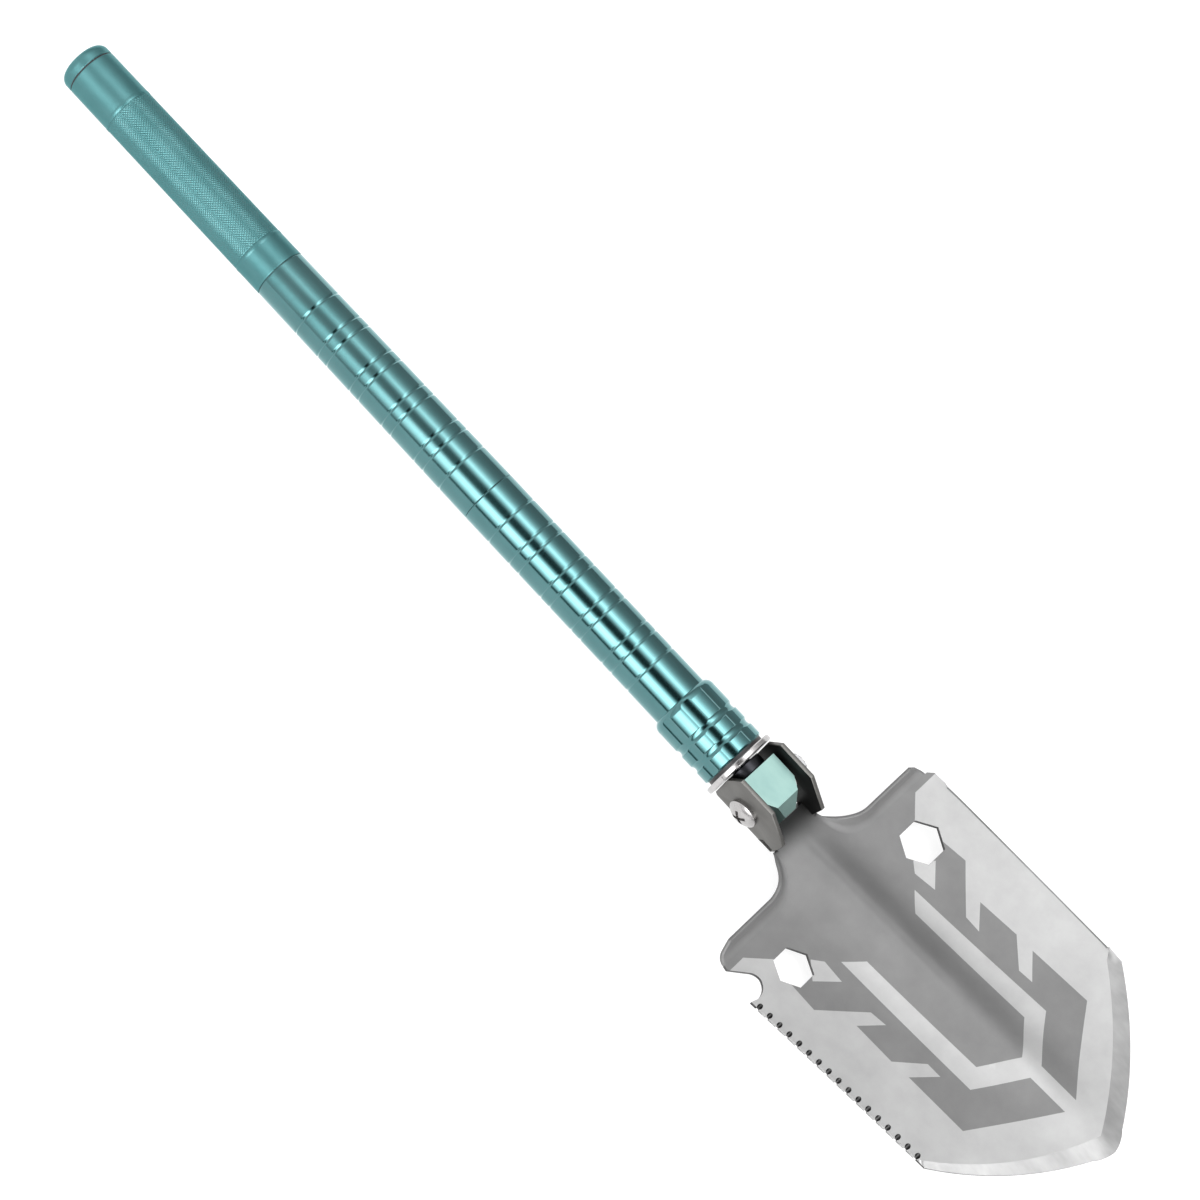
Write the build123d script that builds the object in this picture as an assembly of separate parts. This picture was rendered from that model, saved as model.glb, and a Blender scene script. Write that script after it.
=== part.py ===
from build123d import *
import os
from math import cos, exp, pi, radians, sin, sqrt, tan

# Folding camp shovel with a three-section screw-together handle. All lengths are in mm.
# Everything is modelled about the hinge bolt: X runs along the handle towards the blade's tip,
# Y runs along the hinge bolt, and Z points out of the front of the blade.
# At the end all pieces move together, so that the origin is the centre of the bounding box's base.

# ---------------------------------------------------------------- driving dimensions
# Handle: positions along X of the section joints, and outside radii there
LOWER_END = -42.6
JOINT_A = -207.7
JOINT_B = -366.9
CAP_JOINT = -513.4
HANDLE_END = -522.4
LOWER_RADIUS = 16.0
JOINT_B_RADIUS = 15.0
CAP_RADIUS = 14.5
LOWER_BORE = 14.0
MIDDLE_BORE = 13.0
GRIP_BORE = 12.5
KNURL_START = -485.8
KNURL_END = -382.2
KNURL_BORDER = 2.0
KNURL_DEPTH = 0.3
GROOVE_WIDTH = 1.4
GROOVE_DEPTH = 0.5
GROOVE_SPACING = 6.9
LOWER_GROOVE_PAIRS = (-171.5, -148.0, -125.0, -101.8)
LOWER_SINGLE_GROOVES = (-190.4, -86.1)
MIDDLE_GROOVE_PAIRS = (-318.1, -293.7, -269.0, -244.2)
MIDDLE_SINGLE_GROOVES = (-338.2, -228.2)
EDGE_CHAMFER = 0.4

# Screw joints between the sections
SEAL_THICKNESS = 0.8
SEAL_RECESS = 0.5
THREAD_LENGTH = 15.0
THREAD_RADIUS = 10.0
THREAD_GAP = 0.3
PRESS_GAP = 0.03
COUPLER_SEAT = 18.0
SOCKET_LENGTH = 19.0

# Lock: ring, thrust washer and collar in front of the lower tube
RING_FRONT = -18.3
RING_THICKNESS = 3.0
RING_RADIUS = 20.9
WASHER_THICKNESS = 2.0
WASHER_RADIUS = 17.4
COLLAR_END = -63.3
COLLAR_RADIUS = 18.8
COLLAR_WALL = 2.5
COLLAR_SHOULDER = 5.0
COLLAR_GROOVES = (-44.2, -33.0)
COLLAR_GROOVE_RADIUS = 3.0
COLLAR_GROOVE_DEPTH = 1.0
FLUTE_COUNT = 8
FLUTE_RADIUS = 14.0
FLUTE_DEPTH = 0.7
STUD_RADIUS = 5.9
STUD_GAP = 0.5
STUD_FLANGE_RADIUS = 11.0
STUD_FLANGE_BACK = -17.7

# Hinge
BOLT_RADIUS = 4.0
RUNNING_GAP = 0.05
BLOCK_BACK = -11.7
BLOCK_NOSE = 16.2
BLOCK_TOP = 13.5
BLOCK_BOTTOM = -11.5
BLOCK_HALF_WIDTH = 11.7
EAR_OUTSIDE = 16.5
EAR_BACK = -17.6
EAR_TOP = 20.5
EAR_BOTTOM = -9.3
HEAD_RADIUS = 8.4
HEAD_HEIGHT = 5.0
HEAD_EDGE = 1.6
NUT_ACROSS_FLATS = 13.0
NUT_HEIGHT = 6.8
NUT_WASHER_THICKNESS = 1.6
NUT_WASHER_RADIUS = 8.0

# Blade
PLATE = 2.5
CREASE_AT_BOLT = -6.7
BLADE_LIFT = 4.32
RIB_HEIGHT = 10.7
RIB_HALF_WIDTH = 13.9
DISH_RISE = 8.8
FLOOR_START = 16.5
NECK_END = 25.0
SIDE_START = 50.0
TAPER_START = 71.0
SIDE_END = 187.0
TIP = 249.0
SHOULDER_HALF_WIDTH = 83.2
SIDE_END_HALF_WIDTH = 80.2
HOLE_X = 73.5
HOLE_Y = 51.0
RIGHT_SPANNER = 21.2
LEFT_SPANNER = 19.2

# Foot steps: the shoulder edges, turned up in a round bend with a leaning face above it
STEP_EDGE = 42.3
STEP_BEND = 5.0
STEP_LEAN = 67.0
STEP_FACE = 5.4
STEP_END = 79.0
STEP_END_BEVEL = 4.6
STEP_SHEET = 1.9
STEP_ROOT = 4.0
STEP_INSET = 0.3
NECK_CURVE_X = 18.3
NECK_CURVE_Y = 39.6
NECK_CURVE_RADIUS = 24.05
NECK_CURVE_START = -74.0
NECK_CURVE_END = -4.0

# Saw: round gullets ground at 45 degrees through the left edge
GULLETS = 17
GULLETS_START = 75.5
GULLETS_END = 180.5
GULLET_RADIUS = 1.4
GULLET_SET_OUT = 0.9


# ---------------------------------------------------------------- shared helpers
def turned(*points):
    """Solid of revolution about the handle's axis from (x, radius) points."""
    return revolve(make_face(Polyline(*points, close=True)), axis=Axis.X)


def ring(start, end, inner, outer):
    """Plain ring about the handle's axis."""
    return turned((start, inner), (end, inner), (end, outer), (start, outer))


def cross_rod(radius, start, end):
    """Round rod along Y through the hinge."""
    disc = Plane.XZ.offset(-start) * Circle(radius)
    return extrude(disc, amount=end - start, dir=(0, 1, 0))


def dome_rise(reach, rise, radius):
    """Depth below the top of a round dome at a radius, for a dome of the given reach and rise."""
    ball = (reach ** 2 + rise ** 2) / (2 * rise)
    return ball - sqrt(ball ** 2 - radius ** 2)


def side_plate(outline, start, end):
    """Plate standing in the XZ plane, from start to end along Y."""
    face = make_face(Plane.XZ.offset(-start) * Polyline(*outline, close=True))
    return extrude(face, amount=end - start, dir=(0, 1, 0))


# ---------------------------------------------------------------- handle
def handle_radius(x):
    """Outside radius of the handle, which tapers from the lower joint to the cap."""
    if x > JOINT_A:
        return LOWER_RADIUS
    if x > JOINT_B:
        share = (JOINT_A - x) / (JOINT_A - JOINT_B)
        return LOWER_RADIUS + share * (JOINT_B_RADIUS - LOWER_RADIUS)
    share = (JOINT_B - x) / (JOINT_B - CAP_JOINT)
    return JOINT_B_RADIUS + share * (CAP_RADIUS - JOINT_B_RADIUS)


def groove_places(pairs, singles):
    """Centres of all turned grooves of a section, from the cap towards the blade."""
    places = list(singles)
    for middle in pairs:
        places.append(middle - GROOVE_SPACING / 2)
        places.append(middle + GROOVE_SPACING / 2)
    return sorted(places)


def tube_section(start, end, bore, grooves):
    """Tube from start to end with chamfered ends and turned grooves."""
    outside = [(start, handle_radius(start) - EDGE_CHAMFER), (start + EDGE_CHAMFER, handle_radius(start))]
    for place in grooves:
        surface = handle_radius(place)
        outside.append((place - GROOVE_WIDTH / 2, surface))
        outside.append((place - GROOVE_WIDTH / 4, surface - GROOVE_DEPTH))
        outside.append((place + GROOVE_WIDTH / 4, surface - GROOVE_DEPTH))
        outside.append((place + GROOVE_WIDTH / 2, surface))
    outside.append((end - EDGE_CHAMFER, handle_radius(end)))
    outside.append((end, handle_radius(end) - EDGE_CHAMFER))
    return turned((end, bore), (start, bore), *outside)


def lower_tube():
    grooves = groove_places(LOWER_GROOVE_PAIRS, LOWER_SINGLE_GROOVES)
    return tube_section(JOINT_A + SEAL_THICKNESS / 2, LOWER_END, LOWER_BORE, grooves)


def middle_tube():
    grooves = groove_places(MIDDLE_GROOVE_PAIRS, MIDDLE_SINGLE_GROOVES)
    start = JOINT_B + SEAL_THICKNESS / 2
    end = JOINT_A - SEAL_THICKNESS / 2
    return tube_section(start, end, MIDDLE_BORE, grooves)


def grip_tube():
    """Grip section, with the knurled band cut slightly below its two smooth borders."""
    tube = tube_section(CAP_JOINT + SEAL_THICKNESS / 2, JOINT_B - SEAL_THICKNESS / 2, GRIP_BORE, [])
    start = KNURL_START + KNURL_BORDER
    end = KNURL_END - KNURL_BORDER
    outer = CAP_RADIUS + JOINT_B_RADIUS
    band = turned(
        (start, handle_radius(start) - KNURL_DEPTH),
        (end, handle_radius(end) - KNURL_DEPTH),
        (end, outer),
        (start, outer),
    )
    return tube - band


def male_coupler(joint, bore):
    """Plug pressed into the tube on the blade side of a joint, with its thread on the cap side."""
    face = joint + SEAL_THICKNESS / 2
    seat = bore - PRESS_GAP
    return turned(
        (face + COUPLER_SEAT, 0),
        (face + COUPLER_SEAT, seat),
        (face, seat),
        (face, THREAD_RADIUS),
        (joint - THREAD_LENGTH + 1, THREAD_RADIUS),
        (joint - THREAD_LENGTH, THREAD_RADIUS - 1),
        (joint - THREAD_LENGTH, 0),
    )


def female_socket(joint, bore):
    """Blind threaded insert pressed into the tube on the cap side of a joint."""
    face = joint - SEAL_THICKNESS / 2
    bottom = joint - THREAD_LENGTH - 1.5
    thread = THREAD_RADIUS + THREAD_GAP
    return turned(
        (face, thread),
        (face, bore - PRESS_GAP),
        (face - SOCKET_LENGTH, bore - PRESS_GAP),
        (face - SOCKET_LENGTH, 0),
        (bottom, 0),
        (bottom, thread),
    )


def joint_seal(joint):
    """Flat rubber seal that shows as the thin line between two sections."""
    half = SEAL_THICKNESS / 2
    return ring(joint - half, joint + half, THREAD_RADIUS + THREAD_GAP, handle_radius(joint) - SEAL_RECESS)


def cap_socket():
    """Open threaded insert at the end of the grip tube; the compartment opens through it."""
    face = CAP_JOINT + SEAL_THICKNESS / 2
    return ring(face, face + SOCKET_LENGTH, THREAD_RADIUS + THREAD_GAP, GRIP_BORE - PRESS_GAP)


def end_cap():
    """Domed cap with a solid threaded spigot."""
    face = CAP_JOINT - SEAL_THICKNESS / 2
    spigot_end = CAP_JOINT + THREAD_LENGTH
    corner = 4.5
    crown = 0.9
    reach = CAP_RADIUS - corner
    crown_middle = dome_rise(reach, crown, reach / 2)
    outline = [
        Line((face, THREAD_RADIUS), (face, CAP_RADIUS - EDGE_CHAMFER)),
        Line((face, CAP_RADIUS - EDGE_CHAMFER), (face - EDGE_CHAMFER, CAP_RADIUS)),
        Line((face - EDGE_CHAMFER, CAP_RADIUS), (HANDLE_END + crown + corner, CAP_RADIUS)),
        ThreePointArc(
            (HANDLE_END + crown + corner, CAP_RADIUS),
            (HANDLE_END + crown + corner * (1 - sin(pi / 4)), CAP_RADIUS - corner * (1 - cos(pi / 4))),
            (HANDLE_END + crown, reach),
        ),
        ThreePointArc((HANDLE_END + crown, reach), (HANDLE_END + crown_middle, reach / 2), (HANDLE_END, 0)),
        Line((HANDLE_END, 0), (spigot_end, 0)),
        Line((spigot_end, 0), (spigot_end, THREAD_RADIUS)),
        Line((spigot_end, THREAD_RADIUS), (face, THREAD_RADIUS)),
    ]
    return revolve(make_face(outline), axis=Axis.X)


# ---------------------------------------------------------------- lock and stud
def stud_plug():
    """Plug in the end of the lower tube that carries the hinge stud."""
    return ring(LOWER_END - 22, LOWER_END, STUD_RADIUS + PRESS_GAP, LOWER_BORE - PRESS_GAP)


def stud_nut():
    """Nut that locks the stud behind the plug."""
    back = LOWER_END - 22
    body = Plane.YZ.offset(back - 7) * RegularPolygon(9.5, 6, major_radius=False)
    hole = Plane.YZ.offset(back - 7) * Circle(STUD_RADIUS + PRESS_GAP)
    return extrude(body - hole, amount=7)


def hinge_stud():
    """Threaded stud from the plug to the hinge block, plain here at its thread's outside size.

    A flange on it sits against the back of the block.
    """
    end = LOWER_END - 22 - 9
    front = -BOLT_RADIUS - 1.4
    flange_front = BLOCK_BACK - RUNNING_GAP
    edge = 0.6
    return turned(
        (end, 0),
        (end, STUD_RADIUS - 1),
        (end + 1, STUD_RADIUS),
        (STUD_FLANGE_BACK, STUD_RADIUS),
        (STUD_FLANGE_BACK, STUD_FLANGE_RADIUS - edge),
        (STUD_FLANGE_BACK + edge, STUD_FLANGE_RADIUS),
        (flange_front - edge, STUD_FLANGE_RADIUS),
        (flange_front, STUD_FLANGE_RADIUS - edge),
        (flange_front, STUD_RADIUS),
        (front - 0.8, STUD_RADIUS),
        (front, STUD_RADIUS - 0.8),
        (front, 0),
    )


def lock_ring():
    back = RING_FRONT - RING_THICKNESS
    edge = 0.5
    return turned(
        (back, STUD_RADIUS + STUD_GAP),
        (RING_FRONT, STUD_RADIUS + STUD_GAP),
        (RING_FRONT, RING_RADIUS - edge),
        (RING_FRONT - edge, RING_RADIUS),
        (back + edge, RING_RADIUS),
        (back, RING_RADIUS - edge),
    )


def thrust_washer():
    front = RING_FRONT - RING_THICKNESS
    return ring(front - WASHER_THICKNESS, front, STUD_RADIUS + STUD_GAP, WASHER_RADIUS)


def lock_collar():
    """Screw collar with a rounded shoulder, two round grooves and shallow flutes along it."""
    front = RING_FRONT - RING_THICKNESS - WASHER_THICKNESS
    lip = LOWER_RADIUS + THREAD_GAP
    shoulder_end = COLLAR_END + COLLAR_SHOULDER
    outline = [
        Line((COLLAR_END, lip), (COLLAR_END, lip + 0.3)),
        ThreePointArc(
            (COLLAR_END, lip + 0.3),
            (COLLAR_END + 1.5, COLLAR_RADIUS - 0.75),
            (shoulder_end, COLLAR_RADIUS),
        ),
        Line((shoulder_end, COLLAR_RADIUS), (front - 1, COLLAR_RADIUS)),
        Line((front - 1, COLLAR_RADIUS), (front, COLLAR_RADIUS - 1)),
        Line((front, COLLAR_RADIUS - 1), (front, STUD_RADIUS + STUD_GAP)),
        Line((front, STUD_RADIUS + STUD_GAP), (front - COLLAR_WALL, STUD_RADIUS + STUD_GAP)),
        Line((front - COLLAR_WALL, STUD_RADIUS + STUD_GAP), (front - COLLAR_WALL, lip)),
        Line((front - COLLAR_WALL, lip), (COLLAR_END, lip)),
    ]
    body = revolve(make_face(outline), axis=Axis.X)
    for place in COLLAR_GROOVES:
        centre_radius = COLLAR_RADIUS - COLLAR_GROOVE_DEPTH + COLLAR_GROOVE_RADIUS
        body -= revolve(Pos(place, centre_radius) * Circle(COLLAR_GROOVE_RADIUS), axis=Axis.X)
    flute_length = front - shoulder_end + COLLAR_SHOULDER
    for number in range(FLUTE_COUNT):
        centre_radius = COLLAR_RADIUS - FLUTE_DEPTH + FLUTE_RADIUS
        disc = Plane.YZ.offset(shoulder_end - 3) * (Pos(centre_radius, 0) * Circle(FLUTE_RADIUS))
        flute = extrude(disc, amount=flute_length)
        body -= flute.rotate(Axis.X, (number + 0.5) * 360 / FLUTE_COUNT)
    return body


# ---------------------------------------------------------------- hinge
def hinge_block():
    """Block between the ears: flat top, wedge nose, bore for the bolt and hole for the stud."""
    side = [
        (BLOCK_BACK, BLOCK_BOTTOM),
        (BLOCK_BACK, BLOCK_TOP),
        (10.0, BLOCK_TOP),
        (BLOCK_NOSE, 5.0),
        (BLOCK_NOSE, -4.0),
        (9.0, BLOCK_BOTTOM),
    ]
    plan = [
        (BLOCK_BACK, -BLOCK_HALF_WIDTH),
        (3.5, -BLOCK_HALF_WIDTH),
        (BLOCK_NOSE, -4.0),
        (BLOCK_NOSE, 4.0),
        (3.5, BLOCK_HALF_WIDTH),
        (BLOCK_BACK, BLOCK_HALF_WIDTH),
    ]
    height = EAR_TOP * 2
    wedge = extrude(make_face(Polyline(*plan, close=True)), amount=height, both=True)
    block = side_plate(side, -BLOCK_HALF_WIDTH, BLOCK_HALF_WIDTH) & wedge
    block -= cross_rod(BOLT_RADIUS + RUNNING_GAP, -EAR_OUTSIDE, EAR_OUTSIDE)
    block -= ring(BLOCK_BACK - 1, -BOLT_RADIUS - 1.2, 0, STUD_RADIUS + PRESS_GAP)
    return block


def hinge_bolt():
    """Bolt with a domed, cross-recessed head outside the left ear."""
    shank = cross_rod(BOLT_RADIUS, -EAR_OUTSIDE - 1, EAR_OUTSIDE + NUT_WASHER_THICKNESS + NUT_HEIGHT + 2)
    face = -EAR_OUTSIDE
    edge = face - HEAD_EDGE
    top = face - HEAD_HEIGHT
    dome_middle = top + dome_rise(HEAD_RADIUS, HEAD_HEIGHT - HEAD_EDGE, HEAD_RADIUS / 2)
    outline = [
        Line((0, face), (HEAD_RADIUS, face)),
        Line((HEAD_RADIUS, face), (HEAD_RADIUS, edge)),
        ThreePointArc((HEAD_RADIUS, edge), (HEAD_RADIUS / 2, dome_middle), (0, top)),
        Line((0, top), (0, face)),
    ]
    head = revolve(make_face(outline), axis=Axis.Y)
    slot_length = 8.6
    slot_width = 1.9
    recess_depth = 2.2
    for turn in (45, 135):
        slot = Pos(0, top, 0) * Box(slot_length, recess_depth * 2, slot_width)
        head -= slot.rotate(Axis.Y, turn)
    return shank + head


def hinge_nut():
    start = EAR_OUTSIDE + NUT_WASHER_THICKNESS
    plane = Plane.XZ.offset(-start)
    face = plane * (RegularPolygon(NUT_ACROSS_FLATS / 2, 6, major_radius=False) - Circle(BOLT_RADIUS + RUNNING_GAP))
    return extrude(face, amount=NUT_HEIGHT, dir=(0, 1, 0))


def washer_on_bolt(start, thickness, radius):
    face = Plane.XZ.offset(-start) * (Circle(radius) - Circle(BOLT_RADIUS + RUNNING_GAP))
    return extrude(face, amount=thickness, dir=(0, 1, 0))


def spacer_washers():
    """Two plastic washers that fill the gaps between the block and the ears."""
    ear_inside = EAR_OUTSIDE - PLATE
    thickness = ear_inside - BLOCK_HALF_WIDTH - 2 * RUNNING_GAP
    right = washer_on_bolt(BLOCK_HALF_WIDTH + RUNNING_GAP, thickness, 9.0)
    left = washer_on_bolt(-ear_inside + RUNNING_GAP, thickness, 9.0)
    return Compound(children=[*right.solids(), *left.solids()])


# ---------------------------------------------------------------- blade
def crease_height(x):
    """Height of the blade's front face along its centre crease."""
    return CREASE_AT_BOLT + tan(radians(BLADE_LIFT)) * x


def blade_height(x, y):
    """Height of the blade's front face: a rib along the centre and wings dished up to their sides."""
    along = min(max(x / TIP, 0.0), 1.0)
    start = min(max((x - 12) / 45, 0.0), 1.0)
    fade_in = start * start * (3 - 2 * start)
    drop = RIB_HEIGHT * sin(pi * along ** 0.58) * fade_in
    rib = exp(-((y / RIB_HALF_WIDTH) ** 2))
    dish = DISH_RISE * sin(pi * along ** 0.81) * fade_in
    return crease_height(x) - drop * (1 - rib) + dish * (y / SHOULDER_HALF_WIDTH) ** 2


def blade_sheet():
    """Curved sheet, one plate thick, that the blade's outline is cut from."""
    rows = 33
    columns = 61
    start = FLOOR_START - 4
    length = TIP + 4 - start
    width = 2 * (SHOULDER_HALF_WIDTH + 4)
    points = []
    for row in range(rows):
        x = start + length * row / (rows - 1)
        line = []
        for column in range(columns):
            y = width * (column / (columns - 1) - 0.5)
            line.append(Vector(x, y, blade_height(x, y)))
        points.append(line)
    front = Face.make_surface_from_array_of_points(points, tol=0.01, min_deg=3, max_deg=5)
    return extrude(front, amount=PLATE, dir=(0, 0, -1))


def half_width(x):
    """Half the blade's width along its sides, which narrow a little towards the point."""
    share = max((x - TAPER_START) / (SIDE_END - TAPER_START), 0.0)
    return SHOULDER_HALF_WIDTH + share * (SIDE_END_HALF_WIDTH - SHOULDER_HALF_WIDTH)


def step_reach():
    """Reach and rise of the whole foot step beyond the start of its bend."""
    lean = radians(STEP_LEAN)
    reach = STEP_BEND * sin(lean) + STEP_FACE * cos(lean)
    rise = STEP_BEND * (1 - cos(lean)) + STEP_FACE * sin(lean)
    return reach, rise


def step_section(share):
    """Reach and rise at a share of the way up the foot step, from its bend to its top edge."""
    lean = radians(STEP_LEAN)
    bend_length = STEP_BEND * lean
    along = share * (bend_length + STEP_FACE)
    angle = min(along, bend_length) / STEP_BEND
    straight = max(along - bend_length, 0.0)
    reach = STEP_BEND * sin(angle) + straight * cos(lean)
    rise = STEP_BEND * (1 - cos(angle)) + straight * sin(lean)
    return reach, rise


def step_line(share):
    """Top edge of the right foot step in plan, its outward direction, and how far it is turned up."""
    curve = radians(NECK_CURVE_END - NECK_CURVE_START) * NECK_CURVE_RADIUS
    curve_end_y = NECK_CURVE_Y + NECK_CURVE_RADIUS * sin(radians(NECK_CURVE_END))
    along = share * (curve + STEP_END - curve_end_y)
    if along < curve:
        turn = radians(NECK_CURVE_START) + along / NECK_CURVE_RADIUS
        edge = (NECK_CURVE_X + NECK_CURVE_RADIUS * cos(turn), NECK_CURVE_Y + NECK_CURVE_RADIUS * sin(turn))
        turned_up = min(along / curve / 0.75, 1.0)
        return edge, (-cos(turn), -sin(turn)), turned_up * turned_up * (3 - 2 * turned_up)
    return (STEP_EDGE, curve_end_y + along - curve), (-1.0, 0.0), 1.0


def step_width(turned_up):
    """Width in plan of the turned-up strip, which narrows along the neck."""
    full_reach, full_rise = step_reach()
    return full_reach * (0.35 + 0.65 * turned_up)


def foot_step(side):
    """Foot step: a thinner sheet that starts inside the blade's plate and turns up at its edge.

    The sheet is swept backwards and down, a direction that meets both its flat root and its
    leaning face at the same slant, so its true thickness is 0.82 of the sweep everywhere.
    """
    full_reach, full_rise = step_reach()
    columns = 36
    root_rows = 4
    rows = 12
    points = []
    for column in range(columns):
        share = column / (columns - 1)
        line = []
        for row in range(-root_rows, rows):
            up = max(row, 0) / (rows - 1)
            reach, rise = step_section(up)
            end_cut = STEP_END_BEVEL * rise / full_rise / (STEP_END - NECK_CURVE_Y)
            (edge_x, edge_y), (out_x, out_y), turned_up = step_line(share * (1 - end_cut * share ** 4))
            root = STEP_ROOT * max(-row, 0) / root_rows
            inward = step_width(turned_up) * (1 - (reach - root) / full_reach)
            x = edge_x - out_x * inward
            y = edge_y - out_y * inward
            z = blade_height(x, y) - STEP_INSET + rise * turned_up
            line.append(Vector(x, side * y, z))
        points.append(line)
    front = Face.make_surface_from_array_of_points(points, tol=0.02, min_deg=3, max_deg=5)
    return extrude(front, amount=STEP_SHEET / 0.82, dir=(-0.55, 0.2 * side, -0.81))


def saw_gullets():
    """Round cutters along the left edge, tilted so that they bite most on the front face."""
    pitch = (GULLETS_END - GULLETS_START) / (GULLETS - 1)
    cutters = []
    for number in range(GULLETS):
        x = GULLETS_START + number * pitch
        y = -half_width(x) - GULLET_SET_OUT
        z = blade_height(x, -half_width(x)) - PLATE
        cutters.append(Pos(x, y, z) * Rot(-45, 0, 0) * Cylinder(GULLET_RADIUS, 24))
    return cutters


def blade_outline():
    """Flat outline of the blade, without the ears and the turned-up foot steps."""
    inner = []
    steps = 10
    for number in range(steps + 1):
        share = number / steps
        (edge_x, edge_y), (out_x, out_y), turned_up = step_line(share)
        inward = step_width(turned_up)
        inner.append((edge_x - out_x * inward, edge_y - out_y * inward))
    shoulder = inner[-1][0]
    corner = (SIDE_START + 2, SHOULDER_HALF_WIDTH)
    spike = (70.3, -SHOULDER_HALF_WIDTH)
    point_start = (244.0, 12.0)
    side_end = (SIDE_END, SIDE_END_HALF_WIDTH)
    bulge = (219.5, 49.3)
    tip_bulge = (247.5, 6.0)
    neck = (NECK_END - 1.5, EAR_OUTSIDE)

    def mirrored(point):
        return (point[0], -point[1])

    notch_top = (66.0, -69.6)
    notch_inside = (60.5, -71.2)
    notch_mouth = (SIDE_START + 1.5, -SHOULDER_HALF_WIDTH + 3.5)
    right = [
        Line((FLOOR_START, 0), (FLOOR_START, EAR_OUTSIDE)),
        Line((FLOOR_START, EAR_OUTSIDE), neck),
        Line(neck, inner[0]),
        Spline(*inner[:8]),
        Line(inner[7], (shoulder, inner[8][1])),
        Line((shoulder, inner[8][1]), (shoulder, corner[1] - 3)),
        Line((shoulder, corner[1] - 3), corner),
        Line(corner, (TAPER_START, SHOULDER_HALF_WIDTH)),
        Line((TAPER_START, SHOULDER_HALF_WIDTH), side_end),
        ThreePointArc(side_end, bulge, point_start),
        ThreePointArc(point_start, tip_bulge, (TIP, 0)),
    ]
    left = [
        ThreePointArc((TIP, 0), mirrored(tip_bulge), mirrored(point_start)),
        ThreePointArc(mirrored(point_start), mirrored(bulge), mirrored(side_end)),
        Line(mirrored(side_end), (TAPER_START, -SHOULDER_HALF_WIDTH)),
        Line((TAPER_START, -SHOULDER_HALF_WIDTH), spike),
        ThreePointArc(spike, (71.9, -75.5), notch_top),
        ThreePointArc(notch_top, (63.0, -69.9), notch_inside),
        Line(notch_inside, notch_mouth),
        Line(notch_mouth, (shoulder, -corner[1] + 4)),
        Line((shoulder, -corner[1] + 4), (shoulder, -inner[8][1])),
        Line((shoulder, -inner[8][1]), mirrored(inner[7])),
        Spline(*[mirrored(point) for point in reversed(inner[:8])]),
        Line(mirrored(inner[0]), mirrored(neck)),
        Line(mirrored(neck), (FLOOR_START, -EAR_OUTSIDE)),
        Line((FLOOR_START, -EAR_OUTSIDE), (FLOOR_START, 0)),
    ]
    face = make_face(right + left)
    face -= Pos(HOLE_X, HOLE_Y) * RegularPolygon(RIGHT_SPANNER / 2, 6, major_radius=False, rotation=30)
    face -= Pos(HOLE_X, -HOLE_Y) * RegularPolygon(LEFT_SPANNER / 2, 6, major_radius=False, rotation=30)
    return face


def ear(side):
    """Hinge ear bent up from the neck, with flats for the lock ring on its back and top."""
    outline = [
        (EAR_BACK, EAR_BOTTOM + 1.5),
        (EAR_BACK, 10.5),
        (-12.0, EAR_TOP),
        (10.5, EAR_TOP),
        (26.0, 5.0),
        (24.6, EAR_BOTTOM + 3),
        (23.5, EAR_BOTTOM),
        (EAR_BACK + 1.5, EAR_BOTTOM),
    ]
    start, end = sorted((side * (EAR_OUTSIDE - PLATE), side * EAR_OUTSIDE))
    plate = side_plate(outline, start, end)
    return plate - cross_rod(BOLT_RADIUS + RUNNING_GAP, -EAR_OUTSIDE - 1, EAR_OUTSIDE + 1)


def blade():
    outline = extrude(Pos(0, 0, -60) * blade_outline(), amount=120)
    plate = blade_sheet() & outline
    for side in (1, -1):
        plate += ear(side)
        plate += foot_step(side)
    return plate - saw_gullets()


# ---------------------------------------------------------------- assembly
def all_pieces():
    """Every piece by its node name, about the hinge bolt."""
    return {
        "blade": blade(),
        "hinge_bolt": hinge_bolt(),
        "hinge_nut": hinge_nut(),
        "nut_washer": washer_on_bolt(EAR_OUTSIDE, NUT_WASHER_THICKNESS, NUT_WASHER_RADIUS),
        "spacer_washers": spacer_washers(),
        "hinge_block": hinge_block(),
        "hinge_stud": hinge_stud(),
        "stud_plug": stud_plug(),
        "stud_nut": stud_nut(),
        "lock_ring": lock_ring(),
        "thrust_washer": thrust_washer(),
        "lock_collar": lock_collar(),
        "lower_tube": lower_tube(),
        "lower_coupler": male_coupler(JOINT_A, LOWER_BORE),
        "lower_joint_seal": joint_seal(JOINT_A),
        "middle_socket": female_socket(JOINT_A, MIDDLE_BORE),
        "middle_tube": middle_tube(),
        "upper_coupler": male_coupler(JOINT_B, MIDDLE_BORE),
        "upper_joint_seal": joint_seal(JOINT_B),
        "grip_socket": female_socket(JOINT_B, GRIP_BORE),
        "grip_tube": grip_tube(),
        "cap_socket": cap_socket(),
        "cap_seal": joint_seal(CAP_JOINT),
        "end_cap": end_cap(),
    }


os.makedirs("parts", exist_ok=True)
to_origin = Pos(-(HANDLE_END + TIP) / 2, 0, RING_RADIUS)
for name, shape in all_pieces().items():
    export_step(to_origin * shape, f"parts/{name}.step")
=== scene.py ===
import math

import bmesh
import bpy
from mathutils import Matrix, Vector, kdtree
from mathutils.geometry import delaunay_2d_cdt


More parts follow.
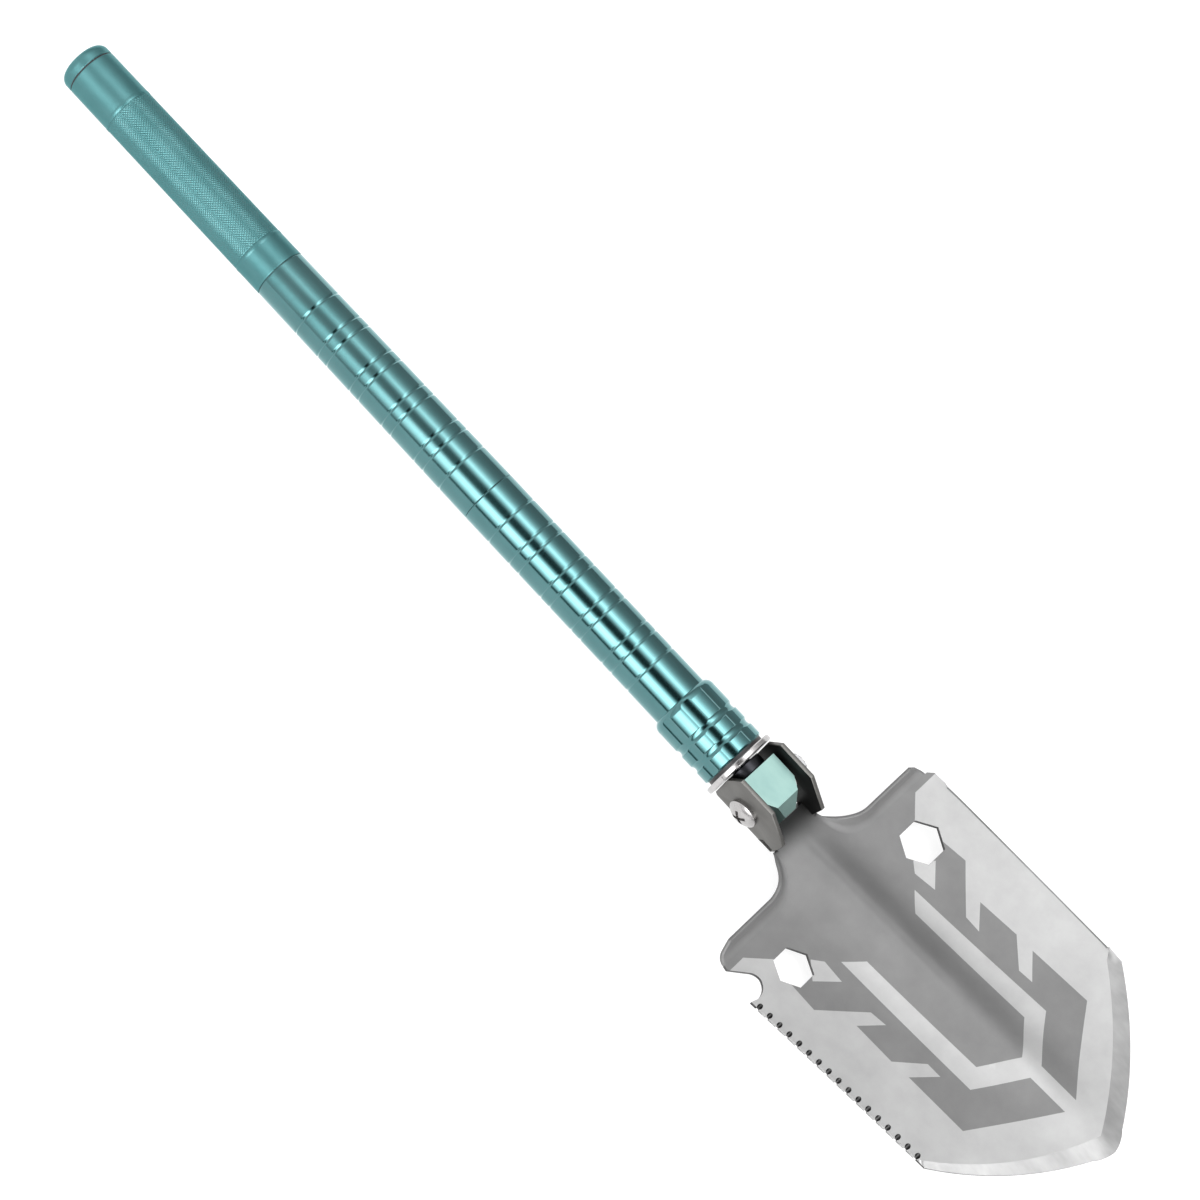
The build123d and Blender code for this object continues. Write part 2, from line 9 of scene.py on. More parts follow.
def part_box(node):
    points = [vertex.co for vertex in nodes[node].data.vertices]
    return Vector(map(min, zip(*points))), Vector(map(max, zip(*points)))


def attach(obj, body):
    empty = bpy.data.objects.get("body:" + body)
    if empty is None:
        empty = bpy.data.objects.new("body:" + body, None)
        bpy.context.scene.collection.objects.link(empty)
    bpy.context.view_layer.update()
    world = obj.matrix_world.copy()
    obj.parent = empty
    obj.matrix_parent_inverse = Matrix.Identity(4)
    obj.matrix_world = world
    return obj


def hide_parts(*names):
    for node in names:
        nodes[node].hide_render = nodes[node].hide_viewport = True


# Camp shovel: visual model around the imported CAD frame, in metres.
# Lengths below are in millimetres about the hinge bolt, as on a drawing of the shovel.
# place() turns such a point into frame metres.

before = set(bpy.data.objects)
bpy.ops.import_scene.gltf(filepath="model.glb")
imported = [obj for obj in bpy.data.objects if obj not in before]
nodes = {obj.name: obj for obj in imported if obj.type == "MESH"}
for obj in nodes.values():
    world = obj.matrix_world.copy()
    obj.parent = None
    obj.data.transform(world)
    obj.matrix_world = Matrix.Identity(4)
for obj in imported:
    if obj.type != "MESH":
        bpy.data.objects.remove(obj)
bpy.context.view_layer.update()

MM = 0.001
bolt_low, bolt_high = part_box("hinge_bolt")
BOLT = Vector(((bolt_low.x + bolt_high.x) / 2, 0, (bolt_low.z + bolt_high.z) / 2))


def place(x, y, z):
    """A point in mm about the hinge bolt, as a point of the frame in metres."""
    return BOLT + Vector((x, y, z)) * MM


# ---------------------------------------------------------------- sizes
# Blade
PLATE = 2.5
CREASE_AT_BOLT = -6.7
BLADE_LIFT = 4.32
RIB_HEIGHT = 10.7
RIB_HALF_WIDTH = 13.9
RIB_SKEW = 0.58
DISH_RISE = 8.8
DISH_SKEW = 0.81
SHAPE_START = 12.0
SHAPE_FADE = 45.0
FLOOR_START = 16.5
NECK_LIP_X = 14.6
NECK_LIP_BOTTOM = -9.3
NECK_END = 25.0
TAPER_START = 71.0
SIDE_END = 187.0
TIP = 248.99
SHOULDER_HALF_WIDTH = 83.2
SIDE_END_HALF_WIDTH = 80.2
HOLE_X = 73.5
HOLE_Y = 51.0
RIGHT_SPANNER = 21.2
LEFT_SPANNER = 19.2
OUTSIDE_Y = 95.0
OUTSIDE_X = TIP + 10

# Spacing of the corners of the blade's mesh
MESH_STEP = 3.5
RIB_STEP = 1.5
MESH_CLEARANCE = 1.2
EDGE_STEP = 4.0
SAME_PLACE = 0.01

# Handle
HANDLE_RADIUS = 16.0
CAP_RADIUS = 14.5
UPPER_JOINT_RADIUS = 15.0
LOWER_JOINT = -207.7
UPPER_JOINT = -366.9
CAP_JOINT = -513.4
LOWER_END = -42.6
LOWER_GAP = 0.1
UPPER_GAP = 0.2
CAP_GAP = 0.4
LOWER_BORE = 14.0
MIDDLE_BORE = 13.0
GRIP_BORE = 12.5
GROOVE_WIDTH = 2.0
GROOVE_DEPTH = 0.42
GROOVE_SPACING = 6.9
LOWER_GROOVE_PAIRS = (-171.5, -148.0, -125.0, -101.8)
LOWER_SINGLE_GROOVES = (-190.4, -86.1)
MIDDLE_GROOVE_PAIRS = (-318.1, -293.7, -269.0, -244.2)
MIDDLE_SINGLE_GROOVES = (-338.2, -228.2)
KNURL_START = -485.8
KNURL_END = -382.2
KNURL_BORDER = 2.0
KNURL_DEPTH = 0.16
KNURL_PEAK_DEPTH = 0.02
KNURL_SLEEVE = 1.0
KNURL_HALF_PITCH = 0.85
KNURL_TURNS = 114

# Hinge ears
EAR_OUTSIDE = 16.5
EAR_BOTTOM = -9.3
EAR_TOP = 20.5
EAR_BACK = -17.6
BOLT_HOLE_RADIUS = 4.2

# Foot steps: the shoulder edges, turned up in a round bend with a leaning face above it
STEP_EDGE = 42.3
STEP_BEND = 5.0
STEP_LEAN = 67.0
STEP_FACE = 5.4
STEP_END = 79.0
STEP_END_BEVEL = 4.6
STEP_SHEET = 1.9
STEP_ROOT = 3.0
STEP_INSET = 0.05
STEP_RISE_SHARE = 0.75
STEP_NARROWEST = 0.35
NECK_CURVE_X = 18.3
NECK_CURVE_Y = 39.6
NECK_CURVE_RADIUS = 24.05
NECK_CURVE_START = -74.0
NECK_CURVE_END = -4.0

# Saw gullets in the left edge, ground at 45 degrees
GULLETS = 17
GULLETS_START = 75.5
GULLETS_END = 180.5
GULLET_RADIUS = 1.4
GULLET_INSIDE = 1.6
SAW_MARGIN = 2.0
SAW_OUTSIDE_Y = -70.0
GULLET_SMALLEST = 0.02
GULLET_DEEPEST = 0.96
TOOTH_TOP_DEPTH = 0.3

# Ground edges: the point's bevel and the right side's knife edge
POINT_BEVEL_DEPTH = 1.3
RIGHT_BEVEL_START = 177.5
LEFT_BEVEL_START = 181.5
BEVEL_TIP = (238.2, 0.0)
KNIFE_WIDTH = 1.6
KNIFE_DEPTH = 1.2
KNIFE_START = 62.0
KNIFE_END = 177.0

# Shallow line pressed along the rib, which fades in past the neck and out halfway down
CREASE_LINE_DEPTH = 0.38
CREASE_LINE_WIDTH = 1.8
CREASE_LINE_Y = 1.0
CREASE_LINE_START = 28.0
CREASE_LINE_FADE_IN = 10.0
CREASE_LINE_END = 115.0
CREASE_LINE_FADE_OUT = 40.0

# Edges that turn by more than this many degrees stay sharp
SHARP_SHEET = 40
SHARP_TURNED = 50
SHARP_CUT = 30


# ---------------------------------------------------------------- material helpers
def new_material(name):
    """An empty node material and its principled shader."""
    material = bpy.data.materials.new(name)
    material.use_nodes = True
    shader = material.node_tree.nodes["Principled BSDF"]
    return material, shader


def add(material, kind, **settings):
    """A node of a material's tree; settings are its properties or its inputs."""
    node = material.node_tree.nodes.new(kind)
    for key, value in settings.items():
        socket_name = key.replace("_", " ").title()
        if hasattr(node, key):
            setattr(node, key, value)
        else:
            node.inputs[socket_name].default_value = value
    return node


def link(material, source, target):
    """Joins one node's output to another's input."""
    material.node_tree.links.new(source, target)


def coordinates(material, scale):
    """Object coordinates in mm, scaled along each axis."""
    position = add(material, "ShaderNodeTexCoord")
    mapping = add(material, "ShaderNodeMapping")
    mapping.inputs["Scale"].default_value = [s / MM for s in scale]
    link(material, position.outputs["Object"], mapping.inputs["Vector"])
    return mapping.outputs["Vector"]


def noise(material, scale, detail=4.0, roughness=0.6):
    """Noise whose cells are 1 / scale mm along each axis."""
    texture = add(material, "ShaderNodeTexNoise", detail=detail, roughness=roughness)
    texture.inputs["Scale"].default_value = 1.0
    link(material, coordinates(material, scale), texture.inputs["Vector"])
    return texture.outputs["Fac"]


def spread(material, value, low, high):
    """Maps a 0.3-0.7 noise onto low-high."""
    ranged = add(material, "ShaderNodeMapRange")
    ranged.inputs["From Min"].default_value = 0.3
    ranged.inputs["From Max"].default_value = 0.7
    ranged.inputs["To Min"].default_value = low
    ranged.inputs["To Max"].default_value = high
    link(material, value, ranged.inputs["Value"])
    return ranged.outputs["Result"]


def colours(material, value, dark, light):
    """A colour between dark and light by a noise."""
    ramp = add(material, "ShaderNodeValToRGB")
    ramp.color_ramp.elements[0].position = 0.32
    ramp.color_ramp.elements[1].position = 0.68
    ramp.color_ramp.elements[0].color = (*dark, 1)
    ramp.color_ramp.elements[1].color = (*light, 1)
    link(material, value, ramp.inputs["Fac"])
    return ramp.outputs["Color"]


def bump(material, shader, value, strength, depth):
    """A bump of the given depth in mm."""
    node = add(material, "ShaderNodeBump")
    node.inputs["Strength"].default_value = strength
    node.inputs["Distance"].default_value = depth * MM
    link(material, value, node.inputs["Height"])
    link(material, node.outputs["Normal"], shader.inputs["Normal"])


def metal(name, dark, light, rough_low, rough_high, grain, grain_strength, coat=0.0, rim=(1, 1, 1)):
    """Metal with uneven colour, uneven polish and a fine grain.

    The grain is its scale along each axis, and the rim is the tint of surfaces seen edge-on.
    """
    material, shader = new_material(name)
    shader.inputs["Metallic"].default_value = 1.0
    shader.inputs["Specular Tint"].default_value = (*rim, 1)
    shader.inputs["Coat Weight"].default_value = coat
    shader.inputs["Coat Roughness"].default_value = 0.06
    patches = noise(material, (0.04, 0.07, 0.07), detail=3.0)
    link(material, colours(material, patches, dark, light), shader.inputs["Base Color"])
    lines = noise(material, grain, detail=5.0)
    link(material, spread(material, lines, rough_low, rough_high), shader.inputs["Roughness"])
    bump(material, shader, lines, grain_strength, 0.02)
    return material


def blasted(name, dark, light, roughness):
    """Bead-blasted steel: partly scatters light, with faint clouds and a fine pitted grain."""
    material, shader = new_material(name)
    shader.inputs["Metallic"].default_value = 0.3
    clouds = noise(material, (0.05, 0.05, 0.05), detail=6.0)
    link(material, colours(material, clouds, dark, light), shader.inputs["Base Color"])
    pits = noise(material, BLASTED, detail=5.0)
    link(material, spread(material, pits, roughness - 0.06, roughness + 0.06), shader.inputs["Roughness"])
    bump(material, shader, pits, 0.25, 0.02)
    return material


def paint_neck_shade(material):
    """Painted shade on the grey steel between the ears, darkest at the hinge block and fading out past it.
    """
    shader = material.node_tree.nodes["Principled BSDF"]
    colour = shader.inputs["Base Color"].links[0].from_socket
    parts = add(material, "ShaderNodeSeparateXYZ")
    link(material, coordinates(material, (1, 1, 1)), parts.inputs["Vector"])
    fade = add(material, "ShaderNodeMapRange", interpolation_type="SMOOTHSTEP")
    fade.inputs["From Min"].default_value = BOLT.x / MM + NECK_SHADE_START
    fade.inputs["From Max"].default_value = BOLT.x / MM + NECK_SHADE_END
    fade.inputs["To Min"].default_value = NECK_SHADE_DARKEST
    link(material, parts.outputs["X"], fade.inputs["Value"])
    shaded = add(material, "ShaderNodeMix", data_type="RGBA", blend_type="MULTIPLY")
    shaded.inputs["Factor"].default_value = 1.0
    link(material, colour, shaded.inputs[6])
    link(material, fade.outputs["Result"], shaded.inputs[7])
    link(material, shaded.outputs[2], shader.inputs["Base Color"])


def moulded(name, dark, light, roughness):
    """Matte plastic or rubber with a fine moulded grain."""
    material, shader = new_material(name)
    patches = noise(material, (0.1, 0.1, 0.1))
    link(material, colours(material, patches, dark, light), shader.inputs["Base Color"])
    fine = noise(material, (3.0, 3.0, 3.0))
    link(material, spread(material, fine, roughness - 0.08, roughness + 0.08), shader.inputs["Roughness"])
    bump(material, shader, fine, 0.4, 0.05)
    return material


# ---------------------------------------------------------------- materials
# Grains, as noise cells per mm along X, Y and Z
POLISHED = (0.15, 5.0, 5.0)
TURNED = (6.0, 0.15, 0.15)
BLASTED = (4.0, 4.0, 4.0)
BRUSHED = (0.12, 3.0, 3.0)
TEAL_RIM = (0.45, 0.80, 0.82)
# Painted shade on the neck: between these distances from the bolt, in mm, the grey steel darkens down to
# the darkest share
NECK_SHADE_START = 18.0
NECK_SHADE_END = 35.0
NECK_SHADE_DARKEST = 0.04

teal = metal(
    "teal_anodised", (0.040, 0.147, 0.154), (0.054, 0.172, 0.180), 0.12, 0.20, TURNED, 0.10, 1.0, TEAL_RIM
)
teal_grip = metal(
    "teal_grip", (0.060, 0.176, 0.184), (0.078, 0.206, 0.215), 0.36, 0.48, BLASTED, 0.20, 0.3, TEAL_RIM
)
pale_teal = metal("pale_anodised", (0.23, 0.36, 0.34), (0.28, 0.42, 0.39), 0.38, 0.48, BLASTED, 0.15)
steel_grey = blasted("blade_grey", (0.134, 0.134, 0.134), (0.157, 0.157, 0.157), 0.58)
# The grey steel carries painted shade near the neck, between the ears
paint_neck_shade(steel_grey)
steel_light = blasted("blade_light", (0.31, 0.31, 0.31), (0.36, 0.36, 0.36), 0.52)
steel_ground = metal("blade_ground", (0.25, 0.25, 0.25), (0.34, 0.34, 0.34), 0.38, 0.50, BRUSHED, 0.30)
steel_ear = metal("blade_ear", (0.120, 0.118, 0.113), (0.160, 0.157, 0.150), 0.34, 0.46, BLASTED, 0.25)
# Near-black inner faces of the ears: painted shade where the block and the ears keep the light out
steel_ear_inside_shade = metal(
    "blade_ear_inside_shade", (0.014, 0.014, 0.014), (0.030, 0.030, 0.030), 0.45, 0.60, BLASTED, 0.25
)
# Near-black for the plate's cut rim and gullets: painted shade in the gullets and along the cut edges
steel_cut_shade = metal("blade_cut_edge_shade", (0.035, 0.035, 0.035), (0.07, 0.07, 0.07), 0.35, 0.50, BRUSHED, 0.30)
steel_bright = metal("bright_steel", (0.40, 0.39, 0.39), (0.52, 0.51, 0.51), 0.16, 0.30, POLISHED, 0.12)
steel_plain = metal("plain_steel", (0.36, 0.36, 0.37), (0.44, 0.44, 0.45), 0.24, 0.38, BLASTED, 0.20)
steel_black = metal("black_steel", (0.02, 0.02, 0.024), (0.04, 0.04, 0.045), 0.28, 0.42, TURNED, 0.30)
raw_aluminium = metal("plain_aluminium", (0.66, 0.67, 0.68), (0.74, 0.75, 0.76), 0.22, 0.34, TURNED, 0.25)
seal_teal = moulded("seal_teal", (0.020, 0.060, 0.062), (0.030, 0.080, 0.082), 0.60)
rubber = moulded("black_rubber", (0.012, 0.012, 0.013), (0.022, 0.022, 0.024), 0.70)
black_plastic = moulded("black_plastic", (0.010, 0.010, 0.011), (0.018, 0.018, 0.020), 0.45)
white_plastic = moulded("white_plastic", (0.62, 0.62, 0.60), (0.70, 0.70, 0.68), 0.50)

NODE_MATERIALS = {
    "hinge_bolt": steel_bright,
    "hinge_nut": steel_plain,
    "nut_washer": steel_plain,
    "spacer_washers": white_plastic,
    "hinge_block": pale_teal,
    "hinge_stud": steel_black,
    "stud_plug": raw_aluminium,
    "stud_nut": steel_plain,
    "lock_ring": steel_bright,
    "thrust_washer": black_plastic,
    "lock_collar": teal,
    "lower_coupler": raw_aluminium,
    "lower_joint_seal": seal_teal,
    "middle_socket": raw_aluminium,
    "upper_coupler": raw_aluminium,
    "upper_joint_seal": seal_teal,
    "grip_socket": raw_aluminium,
    "cap_socket": raw_aluminium,
    "cap_seal": rubber,
    "end_cap": teal_grip,
}
for node_name, node_material in NODE_MATERIALS.items():
    nodes[node_name].data.materials.clear()
    nodes[node_name].data.materials.append(node_material)


# ---------------------------------------------------------------- plan shapes
def clamp(value):
    """The value kept between 0 and 1."""
    return min(max(value, 0.0), 1.0)


def smooth_step(value):
    """0 to 1 with a soft start and end."""
    value = clamp(value)
    return value * value * (3 - 2 * value)


def mirrored(points):
    """The same points on the other side of the blade."""
    return [(x, -y) for x, y in points]


def arc_points(start, middle, end, count):
    """Points along the circle through three points, without the last."""
    (x1, y1), (x2, y2), (x3, y3) = start, middle, end
    determinant = 2 * (x1 * (y2 - y3) + x2 * (y3 - y1) + x3 * (y1 - y2))
    square1 = x1 * x1 + y1 * y1
    square2 = x2 * x2 + y2 * y2
    square3 = x3 * x3 + y3 * y3
    centre_x = (square1 * (y2 - y3) + square2 * (y3 - y1) + square3 * (y1 - y2)) / determinant
    centre_y = (square1 * (x3 - x2) + square2 * (x1 - x3) + square3 * (x2 - x1)) / determinant
    radius = math.hypot(x1 - centre_x, y1 - centre_y)
    first = math.atan2(y1 - centre_y, x1 - centre_x)
    last = math.atan2(y3 - centre_y, x3 - centre_x)
    turn = (x2 - x1) * (y3 - y1) - (y2 - y1) * (x3 - x1)
    if turn > 0 and last < first:
        last += 2 * math.pi
    if turn < 0 and last > first:
        last -= 2 * math.pi
    points = []
    for number in range(count):
        angle = first + (last - first) * number / count
        points.append((centre_x + radius * math.cos(angle), centre_y + radius * math.sin(angle)))
    return points


def line_points(start, end, step):
    """Points along a straight line, without the last."""
    count = max(1, round(math.hypot(end[0] - start[0], end[1] - start[1]) / step))
    points = []
    for number in range(count):
        share = number / count
        points.append((start[0] + (end[0] - start[0]) * share, start[1] + (end[1] - start[1]) * share))
    return points


def path_points(corners, step):
    """Points along straight lines from corner to corner, with the last."""
    points = []
    for start, end in zip(corners, corners[1:]):
        points += line_points(start, end, step)
    return points + [corners[-1]]


def hexagon(x, y, across_flats):
    """Hexagon with two flats across the X axis."""
    radius = across_flats / 2 / math.cos(math.pi / 6)
    corners = []
    for number in range(6):
        angle = math.pi / 6 + number * math.pi / 3
        corners.append((x + radius * math.cos(angle), y + radius * math.sin(angle)))
    return path_points(corners + [corners[0]], 3.0)[:-1]


def distance_to(point, path):
    """Distance in plan from a point to a path of straight pieces."""
    best = math.inf
    for start, end in zip(path, path[1:]):
        along = Vector(end) - Vector(start)
        offset = Vector(point) - Vector(start)
        share = clamp(offset.dot(along) / along.length_squared)
        best = min(best, (offset - along * share).length)
    return best


# ---------------------------------------------------------------- blade surface
def blade_height(x, y):
    """Height of the blade's front face: a rib along the centre and wings dished up to their sides."""
    along = clamp(x / TIP)
    fade_in = smooth_step((x - SHAPE_START) / SHAPE_FADE)
    drop = RIB_HEIGHT * math.sin(math.pi * along ** RIB_SKEW) * fade_in
    rib = math.exp(-((y / RIB_HALF_WIDTH) ** 2))
    dish = DISH_RISE * math.sin(math.pi * along ** DISH_SKEW) * fade_in
    crease = CREASE_AT_BOLT + math.tan(math.radians(BLADE_LIFT)) * x
    return crease - drop * (1 - rib) + dish * (y / SHOULDER_HALF_WIDTH) ** 2


def crease_line(x, y):
    """Depth of the line pressed along the rib."""
    fade_in = smooth_step((x - CREASE_LINE_START) / CREASE_LINE_FADE_IN)
    fade_out = 1 - smooth_step((x - CREASE_LINE_END) / CREASE_LINE_FADE_OUT)
    strength = fade_in * fade_out
    return CREASE_LINE_DEPTH * strength * math.exp(-(((y - CREASE_LINE_Y) / CREASE_LINE_WIDTH) ** 2))


def half_width(x):
    """Half the blade's width along its sides, which narrow a little towards the point."""
    share = clamp((x - TAPER_START) / (SIDE_END - TAPER_START))
    return SHOULDER_HALF_WIDTH + share * (SIDE_END_HALF_WIDTH - SHOULDER_HALF_WIDTH)


def step_section(share):
    """Reach and rise at a share of the way up the foot step, from its bend to its top edge."""
    lean = math.radians(STEP_LEAN)
    bend_length = STEP_BEND * lean
    along = share * (bend_length + STEP_FACE)
    angle = min(along, bend_length) / STEP_BEND
    straight = max(along - bend_length, 0.0)
    reach = STEP_BEND * math.sin(angle) + straight * math.cos(lean)
    rise = STEP_BEND * (1 - math.cos(angle)) + straight * math.sin(lean)
    return reach, rise


FULL_REACH, FULL_RISE = step_section(1.0)


def step_line(share):
    """Top edge of the right foot step in plan, its outward direction, and how far it is turned up."""
    curve = math.radians(NECK_CURVE_END - NECK_CURVE_START) * NECK_CURVE_RADIUS
    curve_end_y = NECK_CURVE_Y + NECK_CURVE_RADIUS * math.sin(math.radians(NECK_CURVE_END))
    along = share * (curve + STEP_END - curve_end_y)
    if along >= curve:
        return Vector((STEP_EDGE, curve_end_y + along - curve)), Vector((-1, 0)), 1.0
    turn = math.radians(NECK_CURVE_START) + along / NECK_CURVE_RADIUS
    direction = Vector((math.cos(turn), math.sin(turn)))
    edge = Vector((NECK_CURVE_X, NECK_CURVE_Y)) + direction * NECK_CURVE_RADIUS
    return edge, -direction, smooth_step(along / curve / STEP_RISE_SHARE)


def step_width(turned_up):
    """Width in plan of the turned-up strip, which narrows along the neck."""
    return FULL_REACH * (STEP_NARROWEST + (1 - STEP_NARROWEST) * turned_up)


def step_foot():
    """Line in plan along which the right foot step leaves the plate, from the neck outwards."""
    points = []
    steps = 26
    for number in range(steps + 1):
        edge, outward, turned_up = step_line(number / steps)
        point = edge - outward * step_width(turned_up)
        points.append((point.x, point.y))
    return points


# ---------------------------------------------------------------- blade outline and pattern
TIP_POINT = (TIP, 0.0)
POINT_START = (244.0, 12.0)
POINT_BULGE = (219.5, 49.3)
TIP_BULGE = (247.5, 6.0)
SIDE_CORNER = (SIDE_END, SIDE_END_HALF_WIDTH)


def saw_edge():
    """Left edge with the front mouths of the round gullets, which reach in under 45 degrees."""
    points = [(TAPER_START, -SHOULDER_HALF_WIDTH)]
    pitch = (GULLETS_END - GULLETS_START) / (GULLETS - 1)
    length = GULLET_RADIUS * math.sqrt(2)
    mouth = math.acos(-GULLET_INSIDE / length)
    steps = 10
    for gullet in range(GULLETS):
        x = GULLETS_START + gullet * pitch
        edge = -half_width(x)
        for number in range(steps + 1):
            angle = -mouth + 2 * mouth * number / steps
            inside = GULLET_INSIDE + length * math.cos(angle)
            points.append((x + GULLET_RADIUS * math.sin(angle), edge + max(inside, 0.0)))
    return points


def point_curve():
    """Right side of the blade's point, from the side's end to the tip."""
    points = arc_points(SIDE_CORNER, POINT_BULGE, POINT_START, 32)
    return points + arc_points(POINT_START, TIP_BULGE, TIP_POINT, 7)


def blade_outline():
    """Outline of the blade's plate, anticlockwise from the left corner of the neck."""
    foot = step_foot()
    shoulder = foot[-1][0]
    notch_mouth = (51.5, -SHOULDER_HALF_WIDTH + 3.5)
    notch_inside = (60.5, -71.2)
    notch_top = (66.0, -69.6)
    spike = (70.3, -SHOULDER_HALF_WIDTH)
    points = [(FLOOR_START, -EAR_OUTSIDE), (NECK_END - 1.5, -EAR_OUTSIDE)]
    points += mirrored(foot)
    points += [(shoulder, -SHOULDER_HALF_WIDTH + 4)]
    points += line_points(notch_mouth, notch_inside, 3.0)
    points += arc_points(notch_inside, (63.0, -69.9), notch_top, 5)
    points += arc_points(notch_top, (71.9, -75.5), spike, 9)
    points += saw_edge()
    points += mirrored(point_curve()) + [TIP_POINT]
    points += list(reversed(point_curve()))
    points += line_points((TAPER_START, SHOULDER_HALF_WIDTH), (52.0, SHOULDER_HALF_WIDTH), 4.0)
    points += [(52.0, SHOULDER_HALF_WIDTH), (shoulder, SHOULDER_HALF_WIDTH - 3)]
    points += list(reversed(foot))
    points += [(NECK_END - 1.5, EAR_OUTSIDE), (FLOOR_START, EAR_OUTSIDE)]
    return points


def outer_field():
    """Light field along the right side, with two stepped bays in its inner border."""
    return [
        (52.5, 68.0),
        (64.0, 55.5),
        (76.0, 59.0),
        (95.4, 60.4),
        (116.1, 38.2),
        (125.8, 37.4),
        (115.7, 49.6),
        (140.1, 50.4),
        (153.7, 36.9),
        (162.4, 37.2),
        (151.5, 50.0),
        (188.3, 50.6),
        (217.6, 4.5),
        (217.6, 0.0),
        (OUTSIDE_X, 0.0),
        (OUTSIDE_X, OUTSIDE_Y),
        (52.5, OUTSIDE_Y),
    ]


def inner_band():
    """Light band that runs round the middle of the blade and out to its tip."""
    outside = [(88.0, 29.3), (177.3, 30.8), (193.9, 4.5), (217.6, 4.5)]
    inside = [(184.0, 0.0), (171.7, 19.5), (96.8, 19.4)]
    left = mirrored(outside)
    right = list(reversed(outside))
    return left + right + list(reversed(inside)) + mirrored(inside[1:])


def hole_mark():
    """Small light shape beside the right spanner hole."""
    return [(76.5, 40.8), (84.9, 49.0), (95.3, 37.2), (82.2, 35.9)]


def right_bevel_line():
    """Inner border of the point's bevel on the right, from the side to the tip."""
    start = (RIGHT_BEVEL_START, half_width(RIGHT_BEVEL_START))
    corner = (181.0, 74.4)
    return line_points(start, corner, 3.0) + arc_points(corner, (206.4, 49.8), BEVEL_TIP, 26) + [BEVEL_TIP]


def left_bevel_line():
    """Inner border of the point's bevel on the left, which starts with no width."""
    start = (LEFT_BEVEL_START, -half_width(LEFT_BEVEL_START))
    return arc_points(start, (213.6, -46.6), BEVEL_TIP, 28) + [BEVEL_TIP]


def bevel_outline():
    """Outer edge of the ground point, from side to side round the tip."""
    side_end = half_width(KNIFE_END)
    point_outline = point_curve() + [TIP_POINT] + list(reversed(mirrored(point_curve())))
    return [(KNIFE_END, side_end)] + point_outline + [(KNIFE_END, -side_end)]


RIGHT_BEVEL = right_bevel_line()
LEFT_BEVEL = left_bevel_line()
BEVEL_OUTLINE = bevel_outline()


# ---------------------------------------------------------------- blade mesh
def triangulate(loops, points):
    """Triangles over all loops and points; also says which loops each triangle lies in."""
    corners = []
    faces = []
    for loop in loops:
        faces.append(list(range(len(corners), len(corners) + len(loop))))
        corners += [Vector(corner) for corner in loop]
    corners += [Vector(point) for point in points]
    result = delaunay_2d_cdt(corners, [], faces, 0, 0.001, True)
    return result[0], result[2], result[5]


def grid_points(taken):
    """Points spread over the blade, closer together on the rib, clear of the points already taken."""
    tree = kdtree.KDTree(len(taken))
    for number, (x, y) in enumerate(taken):
        tree.insert((x, y, 0), number)
    tree.balance()
    wanted = []
    for row in range(round((TIP - FLOOR_START) / MESH_STEP)):
        x = FLOOR_START + 2 + row * MESH_STEP
        on_rib = [-16 + RIB_STEP * number + 0.3 * (row % 2) for number in range(23)]
        on_wings = [19.5 + MESH_STEP * number for number in range(19)]
        for y in on_rib + on_wings + [-y for y in on_wings]:
            wanted.append((x, y))
    return [(x, y) for x, y in wanted if tree.find((x, y, 0))[2] > MESH_CLEARANCE]


def ordered(loop):
    """The loop turned anticlockwise."""
    area = sum(x1 * y2 - x2 * y1 for (x1, y1), (x2, y2) in zip(loop, loop[1:] + loop[:1]))
    return loop if area > 0 else list(reversed(loop))


def closed_path(corners, step):
    """Points every step or so around a loop of straight pieces."""
    return path_points(corners + corners[:1], step)[:-1]


# Material slots of the plate, and the order of the loops that cut up its front
GREY, LIGHT, GROUND, CUT = range(4)
OUTLINE, RIGHT_HOLE, LEFT_HOLE, BEVEL, KNIFE, FIRST_LIGHT = range(6)


def region(inside):
    """Kind and material slot of the front where the given loops overlap."""
    if BEVEL in inside:
        return "bevel", GROUND
    if KNIFE in inside:
        return "knife", GROUND
    if max(inside) >= FIRST_LIGHT:
        return "face", LIGHT
    return "face", GREY


def front_loops():
    """Loops that cut up the blade's front: outline, holes, ground edges, then the light fields."""
    right_hole = hexagon(HOLE_X, HOLE_Y, RIGHT_SPANNER)
    left_hole = hexagon(HOLE_X, -HOLE_Y, LEFT_SPANNER)
    bevel_loop = RIGHT_BEVEL + list(reversed(LEFT_BEVEL))[1:]
    bevel_loop += [(LEFT_BEVEL_START, -OUTSIDE_Y), (OUTSIDE_X, -OUTSIDE_Y)]
    bevel_loop += [(OUTSIDE_X, OUTSIDE_Y), (RIGHT_BEVEL_START, OUTSIDE_Y)]
    knife = [(x, half_width(x) - KNIFE_WIDTH) for x in (KNIFE_START, TAPER_START, KNIFE_END)]
    knife_loop = path_points(knife, EDGE_STEP) + [(KNIFE_END, OUTSIDE_Y), (KNIFE_START, OUTSIDE_Y)]
    right_light = [closed_path(outer_field(), MESH_STEP), closed_path(hole_mark(), MESH_STEP)]
    loops = [blade_outline(), right_hole, left_hole, bevel_loop, knife_loop]
    loops += right_light + [mirrored(loop) for loop in right_light]
    loops.append(closed_path(inner_band(), MESH_STEP))
    return [ordered(loop) for loop in loops]


def blade_front():
    """Corners of the front in plan, and its triangles with their kind and material slot."""
    loops = front_loops()
    taken = [point for loop in loops for point in loop]
    corners, triangles, owners = triangulate(loops, grid_points(taken))
    kept = []
    for triangle, inside in zip(triangles, owners):
        if OUTLINE in inside and RIGHT_HOLE not in inside and LEFT_HOLE not in inside:
            kept.append((tuple(triangle), *region(inside)))
    return corners, kept


